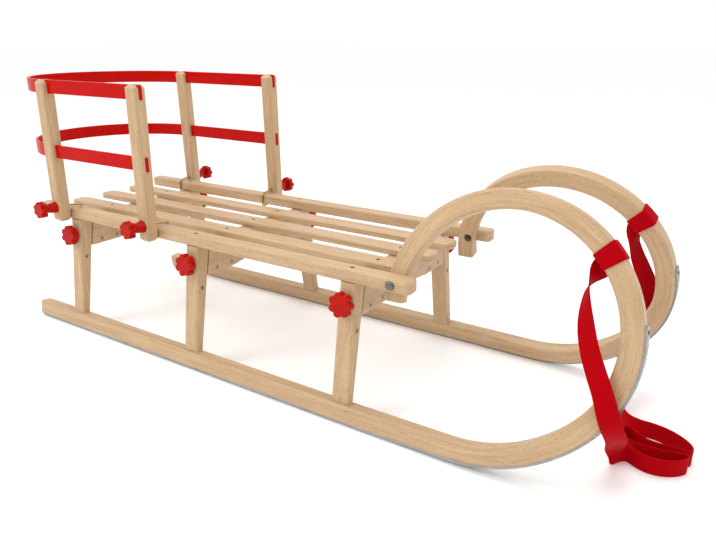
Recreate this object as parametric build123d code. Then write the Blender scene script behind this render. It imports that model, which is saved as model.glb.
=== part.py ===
from build123d import *
import math
import os

# A wooden horn sled with a clamp-on backrest and a webbing pull strap.
# Millimetres. X runs forwards to the horns, Y to the left, Z up.
# The origin is on the floor, under the middle of the sled's box.

# Seat boards
rail_length = 900.0
rail_width = 29.8
rail_thickness = 21.0
rail_spread = 336.4
rail_front_x = 800.0
rail_end_radius = 9.0
rail_edge_radius = 4.0
seat_height = 252.5
slat_length = 858.0
slat_width = 38.0
slat_thickness = 11.5
slat_pitch = 76.0
slat_setback = 40.0
slat_end_radius = 15.0
slat_edge_radius = 2.5
slat_count = 3

# Runners and horns, bent from one bar each
runner_width = 25.0
runner_height = 32.0
runner_edge_radius = 3.5
runner_rear_overhang = 3.5
runner_inner_edge_y = 178.6
runner_tilt = 7.5
horn_tilt = 15.0
twist_start_setback = 70.0
bend_start_reach = 79.5
lower_bend_radius = 236.0
front_bend_radius = 176.5
upper_bend_radius = 170.0
lower_bend_turn = 50.0
front_bend_turn = 97.0
upper_bend_turn = 123.0
horn_end_drop = 49.5
horn_end_chamfer = 9.0
shoe_thickness = 3.0
shoe_width = 20.0
shoe_end_heading = 102.0

# Legs and cross-members
leg_count = 3
leg_front_setback = 107.2
leg_rear_setback = 121.4
leg_top_length = 28.6
leg_foot_length = 34.2
leg_top_width = 32.6
leg_foot_width = 17.5
leg_foot_inset = 1.2
leg_edge_radius = 5.5
bearer_thickness = 28.0
bearer_depth = 59.0
bearer_rise = 6.0
bearer_end_gap = 0.4
bearer_edge_radius = 2.0

# Recesses for the screws and for the barrel bolts
screw_head_diameter = 7.5
screw_head_depth = 3.0
screw_hole_diameter = 3.5
bolt_recess_diameter = 8.5
bolt_recess_depth = 4.0
bearer_bolt_places = (84.0, 122.0)
bearer_bolt_height = 9.5
leg_bolt_drop = 78.2

# Star grips
leg_grip_diameter = 41.0
leg_grip_height = 13.0
leg_grip_hub = 7.0
leg_grip_drop = 32.0
post_grip_diameter = 33.0
post_grip_height = 13.0
post_grip_hub = 25.0
grip_lobe_count = 7
grip_lobe_depth_share = 0.16
leg_grip_foot_share = 0.55
post_grip_foot_share = 0.70
grip_neck_share = 0.42
grip_edge_radius = 2.0
stud_diameter = 7.0
stud_length = 12.0
bore_clearance = 0.2

# Backrest
post_size = 26.0
post_edge_radius = 5.5
post_end_chamfer = 6.5
post_length = 278.5
post_foot_drop = 23.0
post_gap = 0.5
post_lean = 1.2
rear_post_inset = 101.5
post_spacing = 262.0
band_height = 25.5
band_thickness = 6.0
band_edge_radius = 1.5
band_slot_clearance = 0.3
lower_band_rise = 119.0
band_overhang = 1.5
hook_diameter = 4.4
hook_rise = 7.0
hook_clearance = 0.7
hook_over_clearance = 1.3
hook_toe = 15.0
hook_bend_radius = 5.0

# Bolts that hold the horn ends
horn_bolt_offset = 9.4
horn_bolt_drop = 10.0
horn_bolt_diameter = 6.0
horn_bolt_head_diameter = 14.0
horn_bolt_head_height = 4.5
horn_bolt_crown_share = 0.8
horn_nut_height = 5.0
horn_nut_radius_share = 0.4

# Pull strap, tied round both horns, with its slack coiled on the floor.
# Its routes are points chosen by hand: along the sled, across it, up.
strap_width = 28.0
strap_thickness = 2.5
strap_wrap_length = 29.0
strap_wrap_heading = 134.0
strap_route_right = (
    (1047.0, -103.0, 312.0),
    (1036.0, -113.0, 288.0),
    (1036.5, -127.0, 262.0),
    (1042.0, -142.0, 237.0),
    (1052.0, -156.0, 211.0),
    (1065.0, -168.0, 187.0),
    (1079.0, -176.0, 161.0),
    (1091.0, -182.0, 130.0),
    (1103.0, -161.0, 98.0),
    (1101.0, -130.0, 70.0),
    (1093.0, -101.0, 47.0),
    (1089.0, -76.0, 26.0),
)
strap_route_left = (
    (1047.0, 104.0, 312.0),
    (1043.0, 111.0, 286.0),
    (1049.0, 121.0, 262.0),
    (1059.0, 133.0, 238.0),
    (1068.5, 146.0, 214.0),
    (1077.5, 158.0, 189.0),
    (1086.0, 169.0, 162.0),
    (1095.0, 179.0, 131.0),
    (1106.0, 163.0, 100.0),
    (1105.0, 136.0, 78.0),
    (1101.0, 108.0, 60.0),
    (1096.0, 80.0, 46.0),
    (1093.0, 54.0, 35.0),
    (1092.0, 34.0, 25.0),
)
coil_centre = (1138.0, -18.0)
coil_length = 100.0
coil_width = 98.0
coil_opening_centre = (1138.0, -6.0)
coil_opening_length = 66.0
coil_opening_width = 38.0
coil_tails = (((1087.0, -84.0), (1104.0, -48.0)), ((1091.0, 46.0), (1110.0, 18.0)))
coil_tail_thickness = 5.0
strap_bend_share = 0.45

overrun = 5.0

# Places worked out from the sizes above
rail_rear_x = rail_front_x - rail_length
runner_rear_x = rail_rear_x - runner_rear_overhang
twist_start_x = rail_front_x - twist_start_setback
bend_start_x = rail_front_x + bend_start_reach
rail_outer_y = rail_spread / 2
rail_inner_y = rail_outer_y - rail_width
board_base_z = seat_height - rail_thickness
band_reach = rail_outer_y + post_gap + post_size / 2
post_low_z = seat_height - post_foot_drop
post_high_z = post_low_z + post_length
rear_post_x = rail_rear_x + rear_post_inset
front_post_x = rear_post_x + post_spacing
lower_band_z = seat_height + lower_band_rise
upper_band_z = post_high_z - band_height / 2
front_leg_x = rail_front_x - leg_front_setback
leg_spacing = (rail_length - leg_front_setback - leg_rear_setback) / (leg_count - 1)
leg_places = [front_leg_x - leg_spacing * (leg_count - 1 - step) for step in range(leg_count)]
horn_end_height = seat_height - horn_end_drop


def bend_end(point, heading, radius, turn):
    """Point and heading at the end of an arc that turns left."""
    angle = math.radians(heading)
    centre = (point[0] - radius * math.sin(angle), point[1] + radius * math.cos(angle))
    last = math.radians(heading + turn)
    end = (centre[0] + radius * math.sin(last), centre[1] - radius * math.cos(last))
    return centre, end, heading + turn


bend_table = (
    (lower_bend_radius, lower_bend_turn),
    (front_bend_radius, front_bend_turn),
    (upper_bend_radius, upper_bend_turn),
)
horn_plane_scale = math.cos(math.radians(horn_tilt))
lower_bend_top = lower_bend_radius * (1 - math.cos(math.radians(lower_bend_turn)))
lower_bend_reach = lower_bend_radius * math.sin(math.radians(lower_bend_turn))
front_bend_reach = front_bend_radius * (1 - math.sin(math.radians(lower_bend_turn)))
horn_front_x = bend_start_x + lower_bend_reach + front_bend_reach + runner_height / 2
lower_band_reach = band_reach - lower_band_rise * math.tan(math.radians(post_lean))
band_rear_x = rear_post_x - lower_band_reach - band_thickness / 2
origin_x = (horn_front_x + band_rear_x) / 2
runner_middle = shoe_width / 2
shoe_edge_y = runner_inner_edge_y + (runner_width - shoe_width) / 2
hook_axis_z = seat_height + hook_rise


def bar_frame(x, tilt):
    """Section plane of the left runner: its x runs outwards, its y up the bar."""
    angle = math.radians(tilt)
    outwards = (0, math.cos(angle), math.sin(angle))
    return Plane(origin=(x, shoe_edge_y, 0), x_dir=outwards, z_dir=(1, 0, 0))


def bar_section(x, tilt, width, low, high, radius):
    """Rectangle on the bar's section plane, between two heights of the bar."""
    place = bar_frame(x, tilt) * Pos(runner_middle, (low + high) / 2)
    if radius > 0:
        return place * RectangleRounded(width, high - low, radius)
    return place * Rectangle(width, high - low)


def bend_path(end_heading):
    """Centre line of the bend in the horn's plane, up to a heading."""
    angle = math.radians(horn_tilt)
    outwards = Vector(0, math.cos(angle), math.sin(angle)) * runner_middle
    origin = Vector(0, shoe_edge_y, 0) + outwards
    plane = Plane(origin=origin, x_dir=(1, 0, 0), z_dir=(0, -math.cos(angle), -math.sin(angle)))
    point = (bend_start_x, runner_height / 2)
    heading = 0.0
    edges = []
    for radius, turn in bend_table:
        turn = min(turn, end_heading - heading)
        if turn > 0:
            start_angle = heading - 90
            centre, point, heading = bend_end(point, heading, radius, turn)
            edges.append(CenterArc(centre, radius, start_angle, turn))
    return plane, edges, point, heading


def bent_bar(width, low, high, radius, end_heading, end_height):
    """A bar along the runner, twisted in front of the legs and bent up to the horn."""
    rear = bar_section(runner_rear_x, runner_tilt, width, low, high, radius)
    straight = extrude(rear, amount=twist_start_x - runner_rear_x, dir=(1, 0, 0))
    twist_rear = bar_section(twist_start_x, runner_tilt, width, low, high, radius)
    twist_front = bar_section(bend_start_x, horn_tilt, width, low, high, radius)
    twist = loft([twist_rear, twist_front], ruled=True)
    plane, edges, point, heading = bend_path(end_heading)
    if end_height is not None:
        drop = point[1] - end_height / horn_plane_scale
        edges.append(Line(point, (point[0], point[1] - drop)))
    path = plane * Wire(edges)
    bend = sweep(twist_front, path=path)
    return straight + twist + bend


def leg_face_y(z, outer):
    """Side face of a left leg at a height."""
    foot_z = runner_height
    lean_shift = runner_height * math.sin(math.radians(runner_tilt))
    foot_inner = shoe_edge_y - (runner_width - shoe_width) / 2 - lean_shift + leg_foot_inset
    top = rail_outer_y if outer else rail_outer_y - leg_top_width
    foot = foot_inner + leg_foot_width if outer else foot_inner
    share = (board_base_z - z) / (board_base_z - foot_z)
    return top + share * (foot - top)


def mirrored(shape, side):
    """The left side's shape, or its mirror image on the right."""
    return shape if side > 0 else mirror(shape, about=Plane.XZ)


def bolt_recess():
    """A flat-bottomed recess for a barrel bolt's head, sunk backwards from a front face."""
    tool = Cylinder(
        bolt_recess_diameter / 2,
        bolt_recess_depth + overrun,
        align=(Align.CENTER, Align.CENTER, Align.MIN),
    )
    return Pos(-bolt_recess_depth, 0, 0) * Rot(0, 90, 0) * tool


def screw_recess():
    """A countersunk seat for a wood screw's head, sunk down from a top face."""
    return Cone(
        screw_hole_diameter / 2,
        screw_head_diameter / 2,
        screw_head_depth,
        align=(Align.CENTER, Align.CENTER, Align.MAX),
    )


def leg(x):
    """A tapered leg from under the rail down to the runner's sloping top."""
    sections = []
    for z, length in ((board_base_z, leg_top_length), (runner_height / 2, leg_foot_length)):
        inner = leg_face_y(z, False)
        outer = leg_face_y(z, True)
        outline = RectangleRounded(length, outer - inner, min(leg_edge_radius, (outer - inner) / 3))
        sections.append(Pos(x, (inner + outer) / 2, z) * outline)
    below = Box(4 * runner_width, 2 * runner_height, 2 * leg_foot_length)
    body = loft(sections) - bar_frame(x, runner_tilt) * Pos(runner_middle, 0) * below
    bolt_height = board_base_z - leg_bolt_drop
    bolt_y = (leg_face_y(bolt_height, False) + leg_face_y(bolt_height, True)) / 2
    taper_share = leg_bolt_drop / (board_base_z - runner_height / 2)
    front_x = x + (leg_top_length + (leg_foot_length - leg_top_length) * taper_share) / 2
    return body - Pos(front_x, bolt_y, bolt_height) * bolt_recess()


def bearer(x):
    """A cross-member on edge between two legs, its underside raised in the middle."""
    low_z = board_base_z - bearer_depth
    top_y = leg_face_y(board_base_z, False) - bearer_end_gap
    low_y = leg_face_y(low_z, False) - bearer_end_gap
    arch_y = low_y / 2
    outline = Wire(
        [
            Line((-top_y, board_base_z), (top_y, board_base_z)),
            Line((top_y, board_base_z), (low_y, low_z)),
            Line((low_y, low_z), (arch_y, low_z)),
            ThreePointArc((arch_y, low_z), (0, low_z + bearer_rise), (-arch_y, low_z)),
            Line((-arch_y, low_z), (-low_y, low_z)),
            Line((-low_y, low_z), (-top_y, board_base_z)),
        ]
    )
    plane = Plane(origin=(x - bearer_thickness / 2, 0, 0), x_dir=(0, 1, 0), z_dir=(1, 0, 0))
    body = extrude(plane * make_face(outline), amount=bearer_thickness)
    body = fillet(body.edges().filter_by(Axis.X).group_by(Axis.Z)[0], bearer_edge_radius)
    for bolt_y in bearer_bolt_places:
        for side in (-1, 1):
            place = Pos(x + bearer_thickness / 2, side * bolt_y, low_z + bearer_bolt_height)
            body = body - place * bolt_recess()
    return body


def board(rear_x, front_x, y, width, thickness, end_radius, edge_radius):
    """A board along the sled, lying on the legs or the bearers."""
    outline = RectangleRounded(front_x - rear_x, width, end_radius)
    place = Pos((rear_x + front_x) / 2, y, board_base_z)
    body = extrude(place * outline, amount=thickness)
    rims = body.edges().group_by(Axis.Z)
    body = fillet(rims[0] + rims[-1], edge_radius)
    for x in leg_places:
        body = body - Pos(x, y, board_base_z + thickness) * screw_recess()
    return body


def star_outline(diameter):
    """A round grip's outline with its lobes."""
    lobe_radius = diameter * grip_lobe_depth_share
    ring_radius = diameter / 2 - lobe_radius
    outline = Circle(ring_radius + lobe_radius / 3)
    for step in range(grip_lobe_count):
        angle = math.radians(360 / grip_lobe_count * step)
        outline += Pos(ring_radius * math.cos(angle), ring_radius * math.sin(angle)) * Circle(lobe_radius)
    return outline


def star_grip(diameter, foot_share, hub, height):
    """A star grip that stands on its hub's foot at z = 0."""
    head = extrude(Pos(0, 0, hub) * star_outline(diameter), amount=height)
    head = fillet(head.edges().group_by(Axis.Z)[-1], grip_edge_radius)
    foot = Circle(diameter * foot_share / 2)
    neck = Circle(diameter * grip_neck_share / 2)
    return head + loft([foot, Pos(0, 0, hub) * neck])


def leg_grip_place(x):
    """Frame on a left leg's outer face: its z points out of the wood."""
    z = board_base_z - leg_grip_drop
    lean = leg_face_y(z - leg_grip_drop, True) - leg_face_y(z, True)
    angle = math.atan2(lean, leg_grip_drop)
    normal = (0, math.cos(angle), math.sin(angle))
    return Plane(origin=(x, leg_face_y(z, True), z), x_dir=(1, 0, 0), z_dir=normal)


def stud(diameter, inside, outside):
    """A threaded stud's blank, from inside the wood to inside the grip."""
    body = Cylinder(diameter / 2, inside + outside, align=(Align.CENTER, Align.CENTER, Align.MIN))
    return Pos(0, 0, -inside) * body


def leaning(shape):
    """Tips a left backrest piece inwards about the rail's outer top edge."""
    pivot = Pos(0, rail_outer_y + post_gap, seat_height)
    return pivot * Rot(post_lean, 0, 0) * pivot.inverse() * shape


def post_centre_y(z):
    """Middle of a left post at a height, in the leaning backrest."""
    return band_reach - (z - seat_height) * math.tan(math.radians(post_lean))


def band_path(z, front_x):
    """A band's centre line: along one side, round the back and along the other side."""
    reach = post_centre_y(z)
    return Wire(
        [
            Line((front_x, reach, z), (rear_post_x, reach, z)),
            CenterArc((rear_post_x, 0, z), reach, 90, 180),
            Line((rear_post_x, -reach, z), (front_x, -reach, z)),
        ]
    )


def band(z, grow, front_x, top_grow=0.0):
    """A bent band, or the slot that it passes through when grow is above zero."""
    reach = post_centre_y(z)
    width = band_thickness + 2 * grow
    height = band_height + 2 * grow + top_grow
    section = RectangleRounded(width, height, band_edge_radius + grow)
    plane = Plane(origin=(front_x, reach, z + top_grow / 2), x_dir=(0, 1, 0), z_dir=(-1, 0, 0))
    return sweep(plane * section, path=Pos(0, 0, top_grow / 2) * band_path(z, front_x))


def post(x, slots):
    """A square backrest post with its slots and its bolt hole."""
    length = post_high_z - post_low_z
    outline = RectangleRounded(post_size, post_size, post_edge_radius)
    body = extrude(Pos(x, band_reach, post_low_z) * outline, amount=length)
    for axis, size in ((Axis.X, post_end_chamfer), (Axis.Y, post_end_chamfer)):
        wedge = Pos(x, band_reach, post_low_z + length / 2) * end_wedges(axis, size, length)
        body = body - wedge
    bore = Cylinder(hook_diameter / 2 + bore_clearance, 2 * post_size, rotation=(90, 0, 0))
    body = leaning(body - Pos(x, band_reach, hook_axis_z) * bore)
    return body - slots


def end_wedges(axis, size, length):
    """The four corners that the chamfers take off a post's ends."""
    half = post_size / 2
    wedges = []
    for side in (-1, 1):
        for end in (-1, 1):
            points = [
                (side * (half - size), end * length / 2),
                (side * half, end * (length / 2 - size)),
                (side * (half + overrun), end * (length / 2 - size)),
                (side * (half + overrun), end * (length / 2 + overrun)),
                (side * (half - size), end * (length / 2 + overrun)),
            ]
            face = make_face(Polyline(*points, close=True))
            wedges.append(extrude(Plane.XZ * face, amount=post_size, both=True))
    block = Part() + wedges
    return block if axis == Axis.Y else Rot(0, 0, 90) * block


def hook(x):
    """A bent rod from the grip through the post, over the rail and under it."""
    radius = hook_diameter / 2
    down_y = rail_inner_y - radius - hook_clearance
    under_z = board_base_z - radius - hook_clearance
    points = [
        (x, band_reach + post_size / 2 + post_grip_hub, hook_axis_z),
        (x, rail_outer_y, hook_axis_z),
        (x, down_y, seat_height + radius + hook_over_clearance),
        (x, down_y, under_z),
        (x, down_y + hook_toe, under_z),
    ]
    path = FilletPolyline(*points, radius=hook_bend_radius)
    section = Plane(origin=points[0], z_dir=(0, -1, 0)) * Circle(radius)
    return leaning(sweep(section, path=path))


def wrap_solid(grow, radius):
    """The stretch of the left horn's bend that the strap is tied round, grown by a margin."""
    bend_radius = front_bend_radius
    turn = math.degrees(strap_wrap_length / bend_radius)
    first = strap_wrap_heading - turn / 2
    plane, _, point, _ = bend_path(strap_wrap_heading)
    centre, point, _ = bend_end(point, strap_wrap_heading, bend_radius, -turn / 2)
    angle = math.radians(first)
    tangent = plane.x_dir * math.cos(angle) + plane.y_dir * math.sin(angle)
    origin = plane.from_local_coords((point[0], point[1], 0))
    section_plane = Plane(origin=origin, x_dir=plane.z_dir * -1, z_dir=tangent)
    height = runner_height - shoe_thickness
    outline = RectangleRounded(runner_width + 2 * grow, height + 2 * grow, radius + grow)
    path = plane * CenterArc(centre, bend_radius, first - 90, turn)
    return sweep(section_plane * Pos(0, shoe_thickness / 2) * outline, path=path)


def fall_radii(route):
    """Bend radii between a route's straight runs, as wide as the runs allow."""
    vectors = [Vector(*point) for point in route]
    radii = []
    for before, here, after in zip(vectors, vectors[1:], vectors[2:]):
        run_in = here - before
        run_out = after - here
        turn = math.radians(run_in.get_angle(run_out))
        shorter = min(run_in.length, run_out.length)
        radii.append(strap_bend_share * shorter / math.tan(turn / 2))
    return radii


def strap_fall(route):
    """A flat length of strap that hangs outside a horn, down to the coil's top edge."""
    radii = fall_radii(route)
    path = FilletPolyline(*route, radius=radii)
    first = Vector(*route[0])
    along = (Vector(*route[1]) - first).normalized()
    facing = Vector(1, math.copysign(math.sqrt(3), first.Y), 0).normalized()
    facing = facing - along * facing.dot(along)
    section = Plane(origin=first, x_dir=facing, z_dir=along) * Rectangle(strap_thickness, strap_width)
    floor_block = Pos(first.X, 0, 0) * Box(
        2 * coil_length, 4 * rail_spread, strap_width, align=(Align.CENTER, Align.CENTER, Align.MIN)
    )
    return sweep(section, path=path) - floor_block, radii


def coil_solid():
    """The coiled slack, with the end that runs to the foot of the right-hand fall."""
    place = Pos(coil_centre[0], coil_centre[1])
    ring = Ellipse(coil_length / 2, coil_width / 2)
    shift = Vector(coil_opening_centre) - Vector(coil_centre)
    hole = Pos(shift.X, shift.Y) * Ellipse(coil_opening_length / 2, coil_opening_width / 2)
    outline = ring - hole
    for first, last in coil_tails:
        start = Vector(first) - Vector(coil_centre)
        along = Vector(last) - Vector(first)
        angle = math.degrees(math.atan2(along.Y, along.X))
        tail = Rot(0, 0, angle) * Rectangle(
            along.length, coil_tail_thickness, align=(Align.MIN, Align.CENTER)
        )
        outline += Pos(start.X, start.Y) * tail - hole
    return extrude(place * outline, amount=strap_width)


def save(name, shape):
    """Writes one node, moved to the frame whose origin is under the sled's middle."""
    shape = Pos(-origin_x, 0, 0) * shape
    solids = shape.solids()
    whole = solids[0] if len(solids) == 1 else Compound(children=solids)
    whole.label = name
    export_step(whole, f"parts/{name}.step")


os.makedirs("parts", exist_ok=True)
sides = (("left", 1), ("right", -1))
leg_names = ("rear", "middle", "front")
post_table = (("rear", rear_post_x), ("front", front_post_x))

# Horn bolt, its seats, and its hole through rail and horn
bolt_z = seat_height - horn_bolt_drop
horn_bolt_x = bend_path(360)[2][0] + horn_bolt_offset
horn_plane_y = shoe_edge_y - bolt_z * math.tan(math.radians(horn_tilt))
nut_seat_y = horn_plane_y + horn_nut_height / 2
bolt_hole = Pos(horn_bolt_x, rail_outer_y, bolt_z) * Cylinder(
    horn_bolt_diameter / 2 + bore_clearance, rail_outer_y, rotation=(90, 0, 0)
)
nut_recess = Pos(horn_bolt_x, nut_seat_y, bolt_z) * Cylinder(
    horn_bolt_head_diameter / 2 + bore_clearance,
    rail_width,
    rotation=(90, 0, 0),
    align=(Align.CENTER, Align.CENTER, Align.MIN),
)

# One side's solids, mirrored for the other
bar = bent_bar(runner_width, shoe_thickness, runner_height, runner_edge_radius, 360, horn_end_height)
shoe = bent_bar(shoe_width, 0, shoe_thickness, 0, shoe_end_heading, None)
rail_seat = Box(
    3 * runner_height, rail_width, rail_thickness + overrun, align=(Align.CENTER, Align.MIN, Align.MIN)
)
bar = bar - Pos(horn_bolt_x, rail_inner_y, board_base_z) * rail_seat - bolt_hole - nut_recess
rail = board(
    rail_rear_x,
    rail_front_x,
    rail_outer_y - rail_width / 2,
    rail_width,
    rail_thickness,
    rail_end_radius,
    rail_edge_radius,
)
rail = rail - bolt_hole
bolt_head = Cylinder(
    horn_bolt_head_diameter / 2, horn_bolt_head_height, align=(Align.CENTER, Align.CENTER, Align.MIN)
)
bolt_head = fillet(bolt_head.edges().group_by(Axis.Z)[-1], horn_bolt_head_height * horn_bolt_crown_share)
shank_length = rail_outer_y - nut_seat_y + 2 * horn_nut_height
shank = Cylinder(horn_bolt_diameter / 2, shank_length, align=(Align.CENTER, Align.CENTER, Align.MAX))
nut = extrude(RegularPolygon(horn_bolt_head_diameter * horn_nut_radius_share, 6), amount=-horn_nut_height)
nut = Pos(0, 0, nut_seat_y - rail_outer_y) * nut
bolt_frame = Plane(origin=(horn_bolt_x, rail_outer_y, bolt_z), x_dir=(1, 0, 0), z_dir=(0, 1, 0))
horn_bolt = bolt_frame * (bolt_head + shank + nut)

lower_slot = band(lower_band_z, band_slot_clearance, front_post_x + post_size)
upper_slot = band(upper_band_z, band_slot_clearance, front_post_x + post_size, 2 * post_end_chamfer)
slots = lower_slot + upper_slot
band_front_x = front_post_x + post_size / 2 + band_overhang

for side_name, side in sides:
    save(f"runner_{side_name}", mirrored(bar, side))
    save(f"runner_shoe_{side_name}", mirrored(shoe, side))
    save(f"side_rail_{side_name}", mirrored(rail, side))
    save(f"horn_bolt_{side_name}", mirrored(horn_bolt, side))
    for leg_name, x in zip(leg_names, leg_places):
        place = leg_grip_place(x)
        hole = place * stud(stud_diameter + 2 * bore_clearance, stud_length, overrun)
        grip = star_grip(leg_grip_diameter, leg_grip_foot_share, leg_grip_hub, leg_grip_height)
        grip = place * (grip + stud(stud_diameter, stud_length - bore_clearance, leg_grip_hub))
        save(f"leg_{leg_name}_{side_name}", mirrored(leg(x) - hole, side))
        save(f"leg_grip_{leg_name}_{side_name}", mirrored(grip, side))
    for post_name, x in post_table:
        bore = stud(hook_diameter + 2 * bore_clearance, overrun, post_grip_hub)
        grip = star_grip(post_grip_diameter, post_grip_foot_share, post_grip_hub, post_grip_height) - bore
        place = Plane(
            origin=(x, band_reach + post_size / 2, hook_axis_z), x_dir=(1, 0, 0), z_dir=(0, 1, 0)
        )
        save(f"backrest_post_{post_name}_{side_name}", mirrored(post(x, slots), side))
        save(f"post_grip_{post_name}_{side_name}", mirrored(leaning(place * grip), side))
        save(f"rail_hook_{post_name}_{side_name}", mirrored(hook(x), side))
    wrap = wrap_solid(strap_thickness, runner_edge_radius) - wrap_solid(0, runner_edge_radius)
    save(f"strap_wrap_{side_name}", mirrored(wrap, side))

for leg_name, x in zip(leg_names, leg_places):
    save(f"cross_bearer_{leg_name}", bearer(x))

slat_front_x = rail_front_x - slat_setback
slat_names = ("right", "middle", "left")
for index in range(slat_count):
    y = (index - (slat_count - 1) / 2) * slat_pitch
    slat = board(
        slat_front_x - slat_length,
        slat_front_x,
        y,
        slat_width,
        slat_thickness,
        slat_end_radius,
        slat_edge_radius,
    )
    save(f"seat_slat_{slat_names[index]}", slat)

save("backrest_band_lower", band(lower_band_z, 0, band_front_x))
save("backrest_band_upper", band(upper_band_z, 0, band_front_x))

coil = coil_solid()
for side_name, side, route in (("left", 1, strap_route_left), ("right", -1, strap_route_right)):
    fall, radii = strap_fall(route)
    print(f"strap_fall_{side_name} bend radii", [round(radius) for radius in radii])
    fall = fall - mirrored(wrap_solid(strap_thickness, runner_edge_radius) + bar, side)
    save(f"strap_fall_{side_name}", max(fall.solids(), key=lambda solid: solid.volume))
save("strap_coil", coil)
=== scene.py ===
"""Looks for a wooden horn sled with a clamp-on backrest and a webbing pull strap."""

import math
from functools import partial

import bmesh
import bpy
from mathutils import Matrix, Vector


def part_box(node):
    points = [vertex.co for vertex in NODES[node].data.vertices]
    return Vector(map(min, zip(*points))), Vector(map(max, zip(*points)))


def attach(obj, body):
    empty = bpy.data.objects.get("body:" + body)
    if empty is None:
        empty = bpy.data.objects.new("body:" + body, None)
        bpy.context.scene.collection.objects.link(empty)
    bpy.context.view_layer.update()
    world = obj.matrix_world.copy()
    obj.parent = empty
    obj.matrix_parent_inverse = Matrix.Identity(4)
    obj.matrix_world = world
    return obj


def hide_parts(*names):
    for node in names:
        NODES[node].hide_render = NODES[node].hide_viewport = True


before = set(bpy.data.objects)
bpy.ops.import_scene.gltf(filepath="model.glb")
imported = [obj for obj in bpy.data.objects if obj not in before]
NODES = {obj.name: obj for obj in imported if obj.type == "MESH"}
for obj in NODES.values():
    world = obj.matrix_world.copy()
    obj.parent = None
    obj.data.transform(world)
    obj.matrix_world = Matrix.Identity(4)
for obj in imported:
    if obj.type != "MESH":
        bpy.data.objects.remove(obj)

bl_info = {
    "name": "Horn sled",
    "version": (1, 0, 0),
    "blender": (4, 5, 0),
    "location": "View3D > Sidebar > Sled",
    "description": "Finishes the sled's wood, red pieces and metal, and adds its strap and fasteners",
    "category": "Object",
}

SIDES = (("left", 1), ("right", -1))
LEG_NAMES = ("rear", "middle", "front")
POST_NAMES = ("rear", "front")
BOARD_NAMES = (
    "side_rail_left",
    "side_rail_right",
    "seat_slat_left",
    "seat_slat_middle",
    "seat_slat_right",
)


def low_corner(node):
    """A node's lowest corner at rest."""
    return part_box(node)[0]


def high_corner(node):
    """A node's highest corner at rest."""
    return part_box(node)[1]


def middle(node, axis):
    """The middle of a node's box along one axis."""
    return (low_corner(node)[axis] + high_corner(node)[axis]) / 2


# The strap's points and the horn's bends are measured from a line this far behind the rails' front ends.
RAIL_FRONT_REACH = 0.8
MEASURE_X = high_corner("side_rail_left").x - RAIL_FRONT_REACH

# The horn leans inwards about the shoe's inner bottom edge, and bends in its own plane.
HORN_TILT = math.radians(15)
HORN_PIVOT_Y = 0.1811
BAR_WIDTH = 0.025
BAR_HEIGHT = 0.032
BAR_MIDDLE = 0.010
SHOE_THICKNESS = 0.003
SHOE_END_HEADING = 102
# The screw at a shoe's end sits this far along the bend before it, and its domed head stands this proud.
SHOE_END_MARGIN = 2.4
SHOE_END_RISE = 0.0009
# Each bend: its centre along the sled and up the horn's plane, its radius and the headings of its ends.
HORN_BENDS = (
    (0.8795, 0.2520, 0.2360, 0, 50),
    (0.9251, 0.2138, 0.1765, 50, 147),
    (0.9286, 0.2192, 0.1700, 147, 270),
)
STRAP_BEND = HORN_BENDS[1]

# The strap's line, listed from the left horn to the floor. Each row holds a point along, across and up,
# then the way the strap's width points there.
STRAP_DOWN_LEFT = (
    ((1.0480, 0.104, 0.310), (-0.695, -0.186, 0.695)),
    ((1.0450, 0.114, 0.287), (-0.20, -0.95, -0.25)),
    ((1.0510, 0.122, 0.262), (-0.45, -0.85, -0.20)),
    ((1.0600, 0.133, 0.238), (-0.62, -0.75, -0.10)),
    ((1.0690, 0.146, 0.214), (-0.75, -0.62, -0.10)),
    ((1.0775, 0.158, 0.189), (-0.85, -0.50, -0.10)),
    ((1.0835, 0.170, 0.162), (-0.92, -0.30, -0.10)),
    ((1.0820, 0.180, 0.138), (-0.95, 0.05, -0.15)),
    ((1.0735, 0.189, 0.112), (-0.92, 0.20, -0.30)),
    ((1.0685, 0.195, 0.088), (-0.80, 0.30, -0.50)),
    ((1.0665, 0.189, 0.066), (-0.60, 0.55, -0.60)),
    ((1.0660, 0.166, 0.054), (-0.45, 0.45, -0.75)),
    ((1.0660, 0.138, 0.050), (-0.40, 0.25, -0.88)),
    ((1.0670, 0.110, 0.040), (-0.35, 0.20, -0.91)),
    ((1.0680, 0.083, 0.028), (-0.30, 0.15, -0.94)),
    ((1.0720, 0.056, 0.018), (-0.20, 0.10, -0.97)),
    ((1.0840, 0.035, 0.014), (-0.05, 0.05, -1.00)),
)
# The slack lies on edge on the floor: along and across.
STRAP_ON_FLOOR = (
    (1.106, 0.026), (1.127, 0.027), (1.146, 0.023), (1.163, 0.015), (1.177, 0.004),
    (1.187, -0.010), (1.184, -0.021), (1.168, -0.021), (1.148, -0.024), (1.127, -0.023),
    (1.108, -0.012), (1.097, 0.002), (1.088, -0.006), (1.090, -0.026), (1.103, -0.037),
    (1.123, -0.041), (1.145, -0.038), (1.163, -0.034), (1.178, -0.029), (1.185, -0.036),
    (1.175, -0.051), (1.159, -0.062), (1.139, -0.067), (1.120, -0.062), (1.107, -0.053),
    (1.102, -0.054), (1.098, -0.060),
)
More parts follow.
